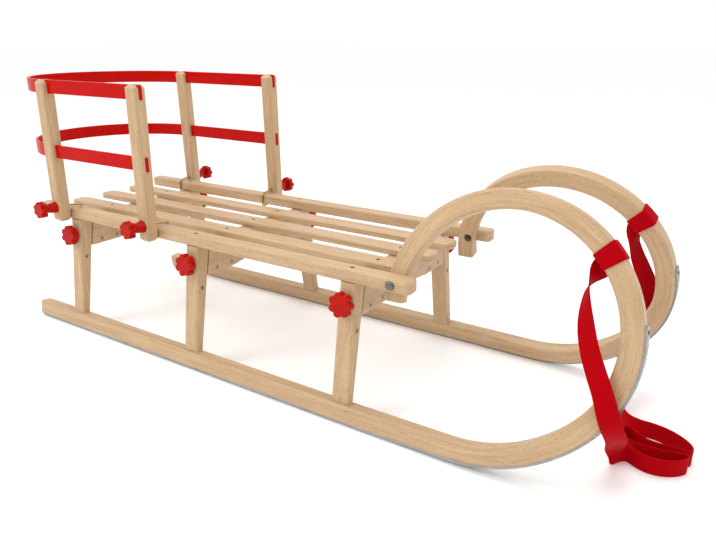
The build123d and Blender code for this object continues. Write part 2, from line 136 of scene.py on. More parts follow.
# From the floor to the right horn, with rows as on the left. The strap is folded where it turns up.
STRAP_UP_RIGHT = (
    ((1.0960, -0.063, 0.014), (-0.14, -0.21, -1.00)),
    ((1.0950, -0.065, 0.014), (-0.56, -0.83, -1.00)),
    ((1.0940, -0.067, 0.017), (-0.66, -0.70, -0.28)),
    ((1.0920, -0.088, 0.038), (-0.84, -0.50, -0.20)),
    ((1.0970, -0.122, 0.064), (-0.88, -0.42, -0.20)),
    ((1.1030, -0.159, 0.095), (-0.88, -0.45, -0.15)),
    ((1.0945, -0.183, 0.130), (-0.90, -0.40, 0.00)),
    ((1.0820, -0.176, 0.161), (-0.97, 0.10, 0.00)),
    ((1.0670, -0.167, 0.187), (-0.97, 0.15, -0.10)),
    ((1.0530, -0.156, 0.211), (-0.97, 0.30, -0.20)),
    ((1.0420, -0.142, 0.237), (-0.90, 0.45, -0.30)),
    ((1.0350, -0.128, 0.262), (-0.60, 0.75, -0.40)),
    ((1.0330, -0.115, 0.287), (-0.14, 0.89, -0.43)),
    ((1.0480, -0.103, 0.310), (0.695, -0.186, -0.695)),
)


class SledWoodFinish(bpy.types.PropertyGroup):
    """Colours and grain of the sled's wood."""

    light: bpy.props.FloatVectorProperty(
        name="Light wood", description="Colour of the pale wood between the grain lines",
        subtype="COLOR", size=3, min=0, max=1, default=(0.580, 0.400, 0.226),
    )
    dark: bpy.props.FloatVectorProperty(
        name="Grain", description="Colour of the darker grain bands",
        subtype="COLOR", size=3, min=0, max=1, default=(0.330, 0.188, 0.084),
    )
    fleck: bpy.props.FloatVectorProperty(
        name="Flecks", description="Colour of the short dark flecks that beech has",
        subtype="COLOR", size=3, min=0, max=1, default=(0.150, 0.070, 0.028),
    )
    roughness: bpy.props.FloatProperty(
        name="Roughness", description="Roughness of the oiled wood",
        subtype="FACTOR", min=0, max=1, default=0.46,
    )
    band_width: bpy.props.FloatProperty(
        name="Band width", description="Width of a grain band across the wood",
        unit="LENGTH", min=0.001, default=0.011,
    )
    fleck_length: bpy.props.FloatProperty(
        name="Fleck length", description="Length of a fleck along the grain",
        unit="LENGTH", min=0.0005, default=0.0055,
    )


class SledRedFinish(bpy.types.PropertyGroup):
    """Colours of the lacquered bands and of the moulded grips."""

    lacquer: bpy.props.FloatVectorProperty(
        name="Band lacquer", description="Colour of the backrest's lacquered bands",
        subtype="COLOR", size=3, min=0, max=1, default=(0.485, 0.003, 0.001),
    )
    plastic: bpy.props.FloatVectorProperty(
        name="Grip plastic", description="Colour of the star grips",
        subtype="COLOR", size=3, min=0, max=1, default=(0.435, 0.006, 0.001),
    )
    gloss: bpy.props.FloatProperty(
        name="Lacquer roughness", description="Roughness of the lacquer",
        subtype="FACTOR", min=0, max=1, default=0.2,
    )


class SledMetalFinish(bpy.types.PropertyGroup):
    """Colours of the shoes, hooks, bolts and screws."""

    steel: bpy.props.FloatVectorProperty(
        name="Shoe steel", description="Colour of the runners' steel shoes",
        subtype="COLOR", size=3, min=0, max=1, default=(0.400, 0.405, 0.410),
    )
    brass: bpy.props.FloatVectorProperty(
        name="Hook brass", description="Colour of the hooks that hold the backrest",
        subtype="COLOR", size=3, min=0, max=1, default=(0.640, 0.440, 0.180),
    )
    chrome: bpy.props.FloatVectorProperty(
        name="Bolt chrome", description="Colour of the horn bolts",
        subtype="COLOR", size=3, min=0, max=1, default=(0.170, 0.165, 0.155),
    )
    barrel: bpy.props.FloatVectorProperty(
        name="Barrel steel", description="Colour of the barrel bolts and of the shoes' screws",
        subtype="COLOR", size=3, min=0, max=1, default=(0.380, 0.370, 0.350),
    )
    screw: bpy.props.FloatVectorProperty(
        name="Screw steel", description="Colour of the dark wood screws",
        subtype="COLOR", size=3, min=0, max=1, default=(0.066, 0.046, 0.031),
    )


class SledStrapSizes(bpy.types.PropertyGroup):
    """Sizes and colour of the pull strap."""

    width: bpy.props.FloatProperty(
        name="Width", description="Width of the webbing", unit="LENGTH", min=0.005,
        default=high_corner("strap_coil").z - low_corner("strap_coil").z,
    )
    thickness: bpy.props.FloatProperty(
        name="Thickness", description="Thickness of the webbing", unit="LENGTH", min=0.0005, default=0.0022,
    )
    wrap_length: bpy.props.FloatProperty(
        name="Wrap length", description="How much of the horn the strap's loop covers",
        unit="LENGTH", min=0.005, default=0.027,
    )
    wrap_heading: bpy.props.FloatProperty(
        name="Wrap heading", description="Heading of the bend at the middle of the loop",
        subtype="ANGLE", min=0, default=math.radians(132.5),
    )
    rib_pitch: bpy.props.FloatProperty(
        name="Rib pitch", description="Width of one rib of the weave",
        unit="LENGTH", min=0.0005, default=0.0035,
    )
    pick_pitch: bpy.props.FloatProperty(
        name="Pick pitch", description="Length of one stitch of the weave",
        unit="LENGTH", min=0.0003, default=0.0018,
    )
    colour: bpy.props.FloatVectorProperty(
        name="Colour", description="Colour of the webbing",
        subtype="COLOR", size=3, min=0, max=1, default=(0.455, 0.000, 0.004),
    )


class SledFastenerSizes(bpy.types.PropertyGroup):
    """Sizes of the screws and barrel bolts."""

    screw_diameter: bpy.props.FloatProperty(
        name="Screw head", description="Diameter of a wood screw's head",
        unit="LENGTH", min=0.001, default=0.0071,
    )
    screw_sink: bpy.props.FloatProperty(
        name="Screw sink", description="How far a screw's head lies below the wood",
        unit="LENGTH", default=0.0003,
    )
    bolt_diameter: bpy.props.FloatProperty(
        name="Barrel bolt", description="Diameter of a barrel bolt's end",
        unit="LENGTH", min=0.001, default=0.0083,
    )
    bolt_sink: bpy.props.FloatProperty(
        name="Barrel bolt sink", description="How far a barrel bolt lies inside its recess",
        unit="LENGTH", default=0.0012,
    )
    shoe_screw_diameter: bpy.props.FloatProperty(
        name="Shoe screw", description="Diameter of a shoe screw's head",
        unit="LENGTH", min=0.001, default=0.0068,
    )


class SledStageSettings(bpy.types.PropertyGroup):
    """Camera, floor and light."""

    floor: bpy.props.FloatVectorProperty(
        name="Floor", description="Colour of the floor", subtype="COLOR", size=3, min=0, max=1,
        default=(0.985, 0.985, 0.985),
    )
    camera_place: bpy.props.FloatVectorProperty(
        name="Camera", description="Place of the camera", subtype="XYZ", unit="LENGTH", size=3,
        default=(0.73186, -0.9287, 0.5855),
    )
    camera_turn: bpy.props.FloatVectorProperty(
        name="Camera turn", description="Turn of the camera", subtype="EULER", size=3,
        default=(math.radians(69.984), 0, math.radians(32.668)),
    )
    lens: bpy.props.FloatProperty(
        name="Lens", description="Focal length in millimetres on a 36 mm sensor", min=1, default=32.267,
    )


# Node helpers

def feed(tree, node, inputs):
    """Gives a node's inputs a value or another node's output."""
    for socket, value in inputs.items():
        if isinstance(value, bpy.types.NodeSocket):
            tree.links.new(value, node.inputs[socket])
        else:
            node.inputs[socket].default_value = value


def add_node(tree, kind, inputs=None, **settings):
    """Adds a node with its settings and feeds its inputs."""
    node = tree.nodes.new(kind)
    for name, value in settings.items():
        setattr(node, name, value)
    feed(tree, node, inputs or {})
    return node


def calc(tree, operation, *values):
    """One step of arithmetic in a node tree."""
    node = add_node(tree, "ShaderNodeMath", dict(enumerate(values)), operation=operation)
    return node.outputs[0]


def choose(tree, switch, when_on, when_off):
    """One value where a switch is on, and another where it is off."""
    share_on = calc(tree, "MULTIPLY", switch, when_on)
    share_off = calc(tree, "MULTIPLY", calc(tree, "SUBTRACT", 1.0, switch), when_off)
    return calc(tree, "ADD", share_on, share_off)


def stretch(tree, vector, scale):
    """A vector times a fixed scale for each axis."""
    node = add_node(tree, "ShaderNodeVectorMath", {0: vector, 1: scale}, operation="MULTIPLY")
    return node.outputs[0]


def noise(tree, place, scale, **details):
    """Noise at a place, as one value. Its other inputs are given by their own names."""
    inputs = {"Vector": place, "Scale": scale, **details}
    return add_node(tree, "ShaderNodeTexNoise", inputs).outputs["Fac"]


def ramp(tree, value, low, high, out_low=0.0, out_high=1.0):
    """A value moved from one range to another and held inside it."""
    inputs = {0: value, 1: low, 2: high, 3: out_low, 4: out_high}
    return add_node(tree, "ShaderNodeMapRange", inputs).outputs[0]


def mix_colours(tree, share, first, second):
    """A blend of two colours by a share."""
    node = add_node(tree, "ShaderNodeMix", {0: share}, data_type="RGBA")
    places = [index for index, socket in enumerate(node.inputs) if socket.type == "RGBA"]
    for place, colour in zip(places, (first, second)):
        linked = isinstance(colour, bpy.types.NodeSocket)
        feed(tree, node, {place: colour if linked else (*colour, 1)})
    return next(socket for socket in node.outputs if socket.type == "RGBA")


def darker(colour, share):
    """A colour with each of its parts cut to a share."""
    return [part * share for part in colour]


def bump(tree, shader, height, distance, strength):
    """Gives a shader a bumped normal from a height."""
    inputs = {"Strength": strength, "Distance": distance, "Height": height}
    feed(tree, shader, {"Normal": add_node(tree, "ShaderNodeBump", inputs).outputs[0]})


def new_group(name, inputs, outputs, tree_kind="ShaderNodeTree"):
    """A node group with named inputs and outputs, and its end nodes."""
    tree = bpy.data.node_groups.new(name, tree_kind)
    for in_out, sockets in (("INPUT", inputs), ("OUTPUT", outputs)):
        for socket_name, kind in sockets:
            tree.interface.new_socket(name=socket_name, in_out=in_out, socket_type=f"NodeSocket{kind}")
    return tree, tree.nodes.new("NodeGroupInput"), tree.nodes.new("NodeGroupOutput")


def use_group(tree, name, **inputs):
    """A node that holds a shared group, with its inputs fed by their names in lower case."""
    node = add_node(tree, "ShaderNodeGroup", node_tree=shared_group(name))
    named = {socket.name.lower().replace(" ", "_"): socket.name for socket in node.inputs}
    feed(tree, node, {named[key]: value for key, value in inputs.items()})
    return node


def new_material(name):
    """An empty node material with its shader."""
    material = bpy.data.materials.new(name)
    material.use_nodes = True
    tree = material.node_tree
    tree.nodes.clear()
    shader = tree.nodes.new("ShaderNodeBsdfPrincipled")
    add_node(tree, "ShaderNodeOutputMaterial", {"Surface": shader.outputs[0]})
    return material, tree, shader


def object_place(tree):
    """The point on the surface in the sled's own frame."""
    return tree.nodes.new("ShaderNodeTexCoord").outputs["Object"]


# Shared surface effects

# The grain's bands and lines are drawn out along the wood, and its flecks are narrow across it.
BAND_STRETCH = (0.05, 1.0, 1.0)
LINE_STRETCH = (0.02, 1.0, 1.0)
FLECK_STRETCH = (1.0, 8.0, 8.0)
LINES_PER_BAND = 9.0
LINE_HEIGHT = -0.6
# The two runners take their figure from places this far to each side, so that they differ.
RUNNER_FIGURE_SHIFT = 0.2
RIB_ROUNDNESS = 0.5
PICK_ROUNDNESS = 0.7
SPECKLES_PER_SMUDGE = 30.0


def make_grain_group():
    """Beech figure along the X of its coordinates: wide bands, fine lines and short flecks."""
    group, start, end = new_group(
        "Beech grain",
        (("Coordinates", "Vector"), ("Band width", "Float"), ("Fleck length", "Float")),
        (("Bands", "Float"), ("Lines", "Float"), ("Flecks", "Float"), ("Height", "Float")),
    )
    place = start.outputs["Coordinates"]
    per_band = calc(group, "DIVIDE", 1.0, start.outputs["Band width"])
    per_line = calc(group, "MULTIPLY", per_band, LINES_PER_BAND)
    per_fleck = calc(group, "DIVIDE", 1.0, start.outputs["Fleck length"])
    bands = noise(
        group, stretch(group, place, BAND_STRETCH), per_band, Detail=4.0, Roughness=0.55, Distortion=0.9
    )
    lines = noise(group, stretch(group, place, LINE_STRETCH), per_line, Detail=3.0, Roughness=0.6)
    flecks = noise(group, stretch(group, place, FLECK_STRETCH), per_fleck, Detail=1.0, Roughness=0.4)
    bands = ramp(group, bands, low=0.30, high=0.72)
    lines = ramp(group, lines, low=0.35, high=0.70)
    flecks = ramp(group, flecks, low=0.63, high=0.71)
    height = calc(group, "SUBTRACT", calc(group, "MULTIPLY", lines, LINE_HEIGHT), flecks)
    feed(group, end, {"Bands": bands, "Lines": lines, "Flecks": flecks, "Height": height})
    return group


def make_bend_group():
    """Coordinates that follow the bent runner: along the bar, across it and through its height."""
    group, start, end = new_group("Bent runner coordinates", (("Place", "Vector"),), (("Along", "Vector"),))
    maths = partial(calc, group)
    split = add_node(group, "ShaderNodeSeparateXYZ", {0: start.outputs["Place"]})
    along = maths("SUBTRACT", split.outputs[0], MEASURE_X)
    out = maths("SUBTRACT", maths("ABSOLUTE", split.outputs[1]), HORN_PIVOT_Y)
    up = split.outputs[2]
    upright = math.cos(HORN_TILT)
    sideways = math.sin(HORN_TILT)
    rise = maths("SUBTRACT", maths("MULTIPLY", up, upright), maths("MULTIPLY", out, sideways))
    across = maths("ADD", maths("MULTIPLY", up, sideways), maths("MULTIPLY", out, upright))
    shift = maths("MULTIPLY", maths("SIGN", split.outputs[1]), RUNNER_FIGURE_SHIFT)
    across = maths("ADD", across, shift)
    bent_along = along
    bent_height = rise
    passed = HORN_BENDS[0][0]
    for centre_x, centre_rise, radius, first, last in HORN_BENDS:
        reach = maths("SUBTRACT", along, centre_x)
        drop = maths("SUBTRACT", centre_rise, rise)
        square = maths("ADD", maths("MULTIPLY", reach, reach), maths("MULTIPLY", drop, drop))
        angle = maths("ARCTAN2", reach, drop)
        # Past half a turn the angle comes back below nought, and only up in the horn
        in_horn = maths("GREATER_THAN", rise, radius / 2)
        past_half = maths("MULTIPLY", maths("LESS_THAN", angle, 0.0), in_horn)
        angle = maths("MULTIPLY_ADD", past_half, 2 * math.pi, angle)
        inside = maths("GREATER_THAN", angle, math.radians(first))
        run = maths("SUBTRACT", angle, math.radians(first))
        here_along = maths("MULTIPLY_ADD", run, radius, passed)
        here_height = maths("SUBTRACT", radius + BAR_HEIGHT / 2, maths("SQRT", square))
        bent_along = choose(group, inside, here_along, bent_along)
        bent_height = choose(group, inside, here_height, bent_height)
        passed += radius * math.radians(last - first)
    joined = add_node(group, "ShaderNodeCombineXYZ", {0: bent_along, 1: across, 2: bent_height})
    feed(group, end, {"Along": joined.outputs[0]})
    return group


def make_weave_group():
    """Webbing from a map in metres: ribs along the strap, with picks that lean to and fro."""
    group, start, end = new_group(
        "Webbing weave",
        (("Map", "Vector"), ("Rib pitch", "Float"), ("Pick pitch", "Float")),
        (("Height", "Float"), ("Shade", "Float")),
    )
    maths = partial(calc, group)
    split = add_node(group, "ShaderNodeSeparateXYZ", {0: start.outputs["Map"]})
    ribs = maths("DIVIDE", split.outputs[1], start.outputs["Rib pitch"])
    picks = maths("DIVIDE", split.outputs[0], start.outputs["Pick pitch"])
    # The picks run one way up a rib and the other way down the next
    lean = maths("PINGPONG", ribs, 1.0)
    rib_wave = maths("SINE", maths("MULTIPLY", maths("FRACT", ribs), math.pi))
    pick_wave = maths("SINE", maths("MULTIPLY", maths("FRACT", maths("ADD", picks, lean)), math.pi))
    rib_height = maths("POWER", rib_wave, RIB_ROUNDNESS)
    height = maths("MULTIPLY", rib_height, maths("POWER", pick_wave, PICK_ROUNDNESS))
    # The Shade output is painted shade: darkest where the weave is lowest, in the hollows between the
    # threads.
    feed(group, end, {"Height": height, "Shade": ramp(group, height, low=0.0, high=0.9)})
    return group


def make_marks_group():
    """Smudges and fine speckles on a hard surface."""
    group, start, end = new_group(
        "Handling marks",
        (("Place", "Vector"), ("Scale", "Float")),
        (("Smudge", "Float"), ("Speckle", "Float")),
    )
    place = start.outputs["Place"]
    scale = start.outputs["Scale"]
    smudge = noise(group, place, scale, Detail=5.0, Roughness=0.6)
    speckle = noise(group, place, calc(group, "MULTIPLY", scale, SPECKLES_PER_SMUDGE), Detail=1.0)
    feed(group, end, {"Smudge": ramp(group, smudge, low=0.3, high=0.7), "Speckle": speckle})
    return group


GROUP_MAKERS = {
    "Beech grain": make_grain_group,
    "Bent runner coordinates": make_bend_group,
    "Webbing weave": make_weave_group,
    "Handling marks": make_marks_group,
}


def shared_group(name):
    """A shared node group, built the first time it is asked for."""
    return bpy.data.node_groups.get(name) or GROUP_MAKERS[name]()


# Finishes

# How much the lines and bands darken beech, and how much its flecks show.
LINE_TONE = 0.42
BAND_TONE = 0.45
FLECK_TONE = 0.55


def roughened(tree, marks, least, gain):
    """Roughness that rises from its least value with the marks."""
    return calc(tree, "MULTIPLY_ADD", marks, gain, least)


def paint_beech(tree, shader, coordinates, finish):
    """Colours, gloss and pores of beech whose grain runs along the X of its coordinates."""
    grain = use_group(
        tree, "Beech grain",
        coordinates=coordinates, band_width=finish.band_width, fleck_length=finish.fleck_length,
    )
    lines = grain.outputs["Lines"]
    band_tone = calc(tree, "MULTIPLY", grain.outputs["Bands"], BAND_TONE)
    tone = calc(tree, "MULTIPLY_ADD", lines, LINE_TONE, band_tone)
    wood = mix_colours(tree, tone, finish.light, finish.dark)
    fleck_tone = calc(tree, "MULTIPLY", grain.outputs["Flecks"], FLECK_TONE)
    feed(tree, shader, {
        "Base Color": mix_colours(tree, fleck_tone, wood, finish.fleck),
        "Roughness": roughened(tree, lines, least=finish.roughness, gain=0.12),
        "Coat Weight": 0.18,
        "Coat Roughness": 0.3,
    })
    bump(tree, shader, grain.outputs["Height"], distance=0.00012, strength=0.6)


def beech_along(name, turn, finish):
    """Beech with straight grain, turned so that the grain runs along the piece."""
    material, tree, shader = new_material(name)
    inputs = {"Vector": object_place(tree), "Rotation": turn}
    turned = add_node(tree, "ShaderNodeMapping", inputs, vector_type="POINT")
    paint_beech(tree, shader, turned.outputs[0], finish)
    return material


def beech_bent(finish):
    """Beech whose grain follows the bent runners."""
    material, tree, shader = new_material("beech bent along the runner")
    bent = use_group(tree, "Bent runner coordinates", place=object_place(tree))
    paint_beech(tree, shader, bent.outputs[0], finish)
    return material


def marked_material(name, colour, scale, shade, stretch_by=None):
    """A material whose colour falls to a shade of it under smudges, with the node that makes its marks."""
    material, tree, shader = new_material(name)
    place = object_place(tree)
    if stretch_by:
        place = stretch(tree, place, stretch_by)
    marks = use_group(tree, "Handling marks", place=place, scale=scale)
    painted = mix_colours(tree, marks.outputs["Smudge"], colour, darker(colour, shade))
    feed(tree, shader, {"Base Color": painted})
    return material, tree, shader, marks


def red_lacquer(finish):
    """Glossy red lacquer over bent wood, with a faint ripple."""
    material, tree, shader, marks = marked_material(
        "red band lacquer", finish.lacquer, scale=45.0, shade=0.86
    )
    smudge = marks.outputs["Smudge"]
    feed(tree, shader, {
        "Roughness": roughened(tree, smudge, least=finish.gloss, gain=0.10),
        "Specular IOR Level": 0.05,
        "Coat Weight": 0.05,
        "Coat Roughness": 0.08,
    })
    bump(tree, shader, smudge, distance=0.0002, strength=0.35)
    return material


def red_plastic(finish):
    """Moulded red plastic with a fine grained skin."""
    material, tree, shader, marks = marked_material(
        "red grip plastic", finish.plastic, scale=90.0, shade=0.8
    )
    speckle = marks.outputs["Speckle"]
    feed(tree, shader, {
        "Roughness": roughened(tree, speckle, least=0.26, gain=0.16),
        "Specular IOR Level": 0.06,
        "Coat Weight": 0.1,
        "Coat Roughness": 0.06,
    })
    bump(tree, shader, speckle, distance=0.00008, strength=0.5)
    return material


def bare_metal(name, colour, roughness, scale=120.0, stretch_by=None):
    """A bare metal with smudges that can run along one axis."""
    material, tree, shader, marks = marked_material(name, colour, scale, shade=0.72, stretch_by=stretch_by)
    rough = roughened(tree, marks.outputs["Smudge"], least=roughness, gain=0.18)
    feed(tree, shader, {"Roughness": rough, "Metallic": 1.0})
    bump(tree, shader, marks.outputs["Speckle"], distance=0.00005, strength=0.4)
    return material


def strap_webbing(sizes):
    """Woven webbing with ribs along the strap, from the strap's own map in metres."""
    material, tree, shader = new_material("crimson strap webbing")
    strap_map = add_node(tree, "ShaderNodeUVMap", uv_map=STRAP_MAP).outputs[0]
    weave = use_group(
        tree, "Webbing weave", map=strap_map, rib_pitch=sizes.rib_pitch, pick_pitch=sizes.pick_pitch
    )
    shade = weave.outputs["Shade"]
    feed(tree, shader, {
        # Painted shade: the webbing's colour falls to 0.6 of itself in the weave's hollows between threads.
        "Base Color": mix_colours(tree, shade, darker(sizes.colour, share=0.6), sizes.colour),
        "Roughness": ramp(tree, shade, low=0.0, high=1.0, out_low=0.75, out_high=0.5),
        "Specular IOR Level": 0.03,
        "Sheen Weight": 0.02,
        "Sheen Roughness": 0.4,
        "Sheen Tint": (0.9, 0.25, 0.25, 1),
    })
    bump(tree, shader, weave.outputs["Height"], distance=0.00035, strength=0.8)
    return material


def pale_floor(colour):
    """A plain pale floor with the faintest change of tone."""
    material, tree, shader, marks = marked_material("pale floor", colour, scale=3.0, shade=0.995)
    feed(tree, shader, {"Roughness": 0.7})
    return material


def paired(kind, places=("",)):
    """The names of like nodes on the left and right, at each place where they stand at several."""
    return [f"{kind}{place}_{side_name}" for place in places for side_name, side in SIDES]


def finish_nodes(names, material):
    """Gives CAD nodes a finish."""
    for name in names:
        if name not in NODES:
            raise ValueError(f"the frame has no node {name}")
        node = NODES[name]
        if not node.material_slots:
            node.data.materials.append(material)
        for node_slot in node.material_slots:
            node_slot.material = material


# Mesh helpers

STRAP_MAP = "StrapMap"
# The strap's section leans only where its width is given longer than this, at the fold.
FOLD_WIDTH = 1.04
SPLINE_STEPS = 10
# The webbing's edge is rounded through a point this far in and out, as shares of half the thickness.
EDGE_TIP_SHARE = 0.3
EDGE_SKIN_SHARE = 0.75
BAR_EDGE_RADIUS = 0.0035
BAR_CORNER_STEPS = 5
# The loop lies this far off the wood, and its webbing is drawn up this much thicker than the strap.
WRAP_CLEARANCE = 0.0001
WRAP_EXTRA = 0.0003
# Each ring of a loop: its share of the loop's half width, and the webbing's share of its thickness there.
WRAP_RINGS = (
    (-1.0, 0.1), (-0.985, 0.75), (-0.94, 1.0), (-0.5, 1.0),
    (0.0, 1.0), (0.5, 1.0), (0.94, 1.0), (0.985, 0.75), (1.0, 0.1),
)


def add_object(name, data):
    """A new object in the scene that holds the given data."""
    made = bpy.data.objects.new(name, data)
    bpy.context.scene.collection.objects.link(made)
    return made


def mesh_piece(name, points, faces, material, face_maps=None, smooth=True):
    """A mesh piece at the origin, with its own map when one is given for each face's corners."""
    mesh = bpy.data.meshes.new(name)
    mesh.from_pydata(points, [], faces)
    if face_maps is not None:
        layer = mesh.uv_layers.new(name=STRAP_MAP)
        places = [place for face_map in face_maps for place in face_map]
        for corner, place in zip(layer.data, places):
            corner.uv = place
    mesh.polygons.foreach_set("use_smooth", [smooth] * len(mesh.polygons))
    mesh.materials.append(material)
    mesh.update()
    return add_object(name, mesh)


def closed_pairs(corners):
    """Each corner of a closed row with the one after it."""
    return zip(corners, corners[1:] + corners[:1])


def spline_points(name, points):
    """The points of a smooth curve that the given points pull on."""
    curve = bpy.data.curves.new(name, "CURVE")
    curve.dimensions = "3D"
    spline = curve.splines.new("NURBS")
    spline.points.add(len(points) - 1)
    for target, point in zip(spline.points, points):
        target.co = (*point, 1)
    spline.order_u = 3
    spline.use_endpoint_u = True
    spline.resolution_u = SPLINE_STEPS
    holder = bpy.data.objects.new(name, curve)
    mesh = bpy.data.meshes.new_from_object(holder)
    found = [vertex.co.copy() for vertex in mesh.vertices]
    bpy.data.objects.remove(holder)
    bpy.data.curves.remove(curve)
    bpy.data.meshes.remove(mesh)
    return found


def flat_section(width, thickness):
    """Outline of the webbing with rounded edges, as width and thickness from its middle."""
    half = width / 2
    skin = thickness / 2
    inset = skin * EDGE_TIP_SHARE
    edge = ((half, 0.0), (half - inset, skin * EDGE_SKIN_SHARE), (half - skin, skin), (half / 2, skin))
    top = tuple((-across, out) for across, out in edge) + ((0.0, skin),) + edge[:0:-1]
    return top + tuple((-across, -out) for across, out in top)


def strap_rows(width):
    """The strap's listed points in the sled's own frame, each with the way its width points."""
    floor_rows = tuple(((x, y, width / 2), (0, 0, -1)) for x, y in STRAP_ON_FLOOR)
    rows = STRAP_DOWN_LEFT + floor_rows + STRAP_UP_RIGHT
    return [(Vector(point) + Vector((MEASURE_X, 0, 0)), Vector(facing)) for point, facing in rows]


def strap_ribbon(material, sizes):
    """The free webbing from horn to horn, with its slack on the floor."""
    rows = strap_rows(sizes.width)
    line = spline_points("strap line", [centre for centre, facing in rows])
    # Each width is at least one long. A longer one, given at the fold, squares the folded corner
    edges = [centre + facing * max(1.0, 1 / facing.length) for centre, facing in rows]
    guide = spline_points("strap edge", edges)
    section = flat_section(sizes.width, sizes.thickness)
    points = []
    travelled = [0.0]
    for index, here in enumerate(line):
        before = line[max(index - 1, 0)]
        after = line[min(index + 1, len(line) - 1)]
        along = (after - before).normalized()
        across = guide[index] - here
        facing = along.cross(across).normalized()
        if across.length < FOLD_WIDTH:
            across = facing.cross(along)
        points += [here + across * width + facing * out for width, out in section]
        if index:
            travelled.append(travelled[-1] + (here - before).length)
    faces = []
    face_maps = []
    count = len(section)
    for row in range(len(line) - 1):
        for step in range(count):
            following = (step + 1) % count
            corners = ((row, step), (row + 1, step), (row + 1, following), (row, following))
            faces.append([place * count + item for place, item in corners])
            face_maps.append([(travelled[place], section[item][0]) for place, item in corners])
    for row, order in ((0, 1), (len(line) - 1, -1)):
        items = range(count)[::order]
        faces.append([row * count + item for item in items])
        face_maps.append([(travelled[row], section[item][0]) for item in items])
    ribbon = mesh_piece("pull_strap", points, faces, material, face_maps)
    return ribbon, line, travelled[-1]


def horn_point(heading, across, depth, side):
    """A point on a horn: heading of the bend, across the bar, and depth from its outer face."""
    centre_x, centre_rise, radius, first, last = STRAP_BEND
    reach = radius + BAR_HEIGHT / 2 - depth
    along = centre_x + reach * math.sin(heading)
    rise = centre_rise - reach * math.cos(heading)
    out = HORN_PIVOT_Y + across * math.cos(HORN_TILT) - rise * math.sin(HORN_TILT)
    up = across * math.sin(HORN_TILT) + rise * math.cos(HORN_TILT)
    return Vector((along + MEASURE_X, side * out, up))


def bar_outline(grow):
    """Rounded outline of the wooden bar, grown by a margin: across the bar, then its depth."""
    half_width = BAR_WIDTH / 2 + grow
    half_height = (BAR_HEIGHT - SHOE_THICKNESS) / 2 + grow
    radius = BAR_EDGE_RADIUS + grow
    middle_depth = (BAR_HEIGHT + SHOE_THICKNESS) / 2
    outline = []
    for across_sign, depth_sign, start in ((1, 1, 0), (-1, 1, 90), (-1, -1, 180), (1, -1, 270)):
        for step in range(BAR_CORNER_STEPS):
            angle = math.radians(start + 90 * step / (BAR_CORNER_STEPS - 1))
            across = across_sign * (half_width - radius) + radius * math.cos(angle)
            depth = depth_sign * (half_height - radius) + radius * math.sin(angle)
            outline.append((BAR_MIDDLE + across, middle_depth + depth))
    return outline


def strap_wrap(side_name, side, material, sizes):
    """The loop of webbing that is drawn tight round a horn."""
    half_length = sizes.wrap_length / 2
    half_turn = half_length / STRAP_BEND[2]
    thickness = sizes.thickness + WRAP_EXTRA
    rings = [(share, thickness * thick) for share, thick in WRAP_RINGS]
    rings += [(share, WRAP_CLEARANCE) for share, thick in WRAP_RINGS[::-1]]
    points = []
    for share, grow in rings:
        heading = sizes.wrap_heading + share * half_turn
        points += [horn_point(heading, across, depth, side) for across, depth in bar_outline(grow)]
    round_loop = [0.0]
    for here, following in closed_pairs(bar_outline(thickness)):
        round_loop.append(round_loop[-1] + math.dist(here, following))
    faces = []
    face_maps = []
    count = len(round_loop) - 1
    total = len(rings)
    for row in range(total):
        for step in range(count):
            corners = ((row, step), (row, step + 1), (row + 1, step + 1), (row + 1, step))
            faces.append([place % total * count + item % count for place, item in corners])
            face_maps.append([
                (round_loop[item], rings[place % total][0] * half_length) for place, item in corners
            ])
    return outward(mesh_piece(f"strap_loop_{side_name}", points, faces, material, face_maps))


def outward(piece):
    """Turns a closed piece's faces outwards."""
    mesh = bmesh.new()
    mesh.from_mesh(piece.data)
    bmesh.ops.recalc_face_normals(mesh, faces=mesh.faces)
    mesh.to_mesh(piece.data)
    mesh.free()
    return piece


# Fasteners

# A fastener's head is made one across: the sides of its circle, then shares of it and depths.
HEAD_SIDES = 20
SHOULDER_SHARE = 0.86
RECESS_FLOOR_SHARE = 0.8
RECESS_DEPTH = 0.22
SKIRT_SHARE = 0.5
SKIRT_DEPTH = 0.34
HEAD_SEED = 7
# Barrel bolts: across and up on the bearers, and below the rail on the legs.
BEARER_BOLT_PLACES = (0.084, 0.122)
BEARER_BOLT_RISE = 0.0095
LEG_BOLT_DROP = 0.0782
# A leg is widest at its foot, so its front face at the bolt lies this far behind its foremost edge.
LEG_FACE_SETBACK = 0.0011
# The runners lean by this under the legs, and each shoe's rearmost screw is this far from its end.
RUNNER_TILT = math.radians(7.5)
SHOE_REAR_MARGIN = 0.025
# Below nought, because the heads of the shoes' screws stand proud.
SHOE_SINK = -0.0003


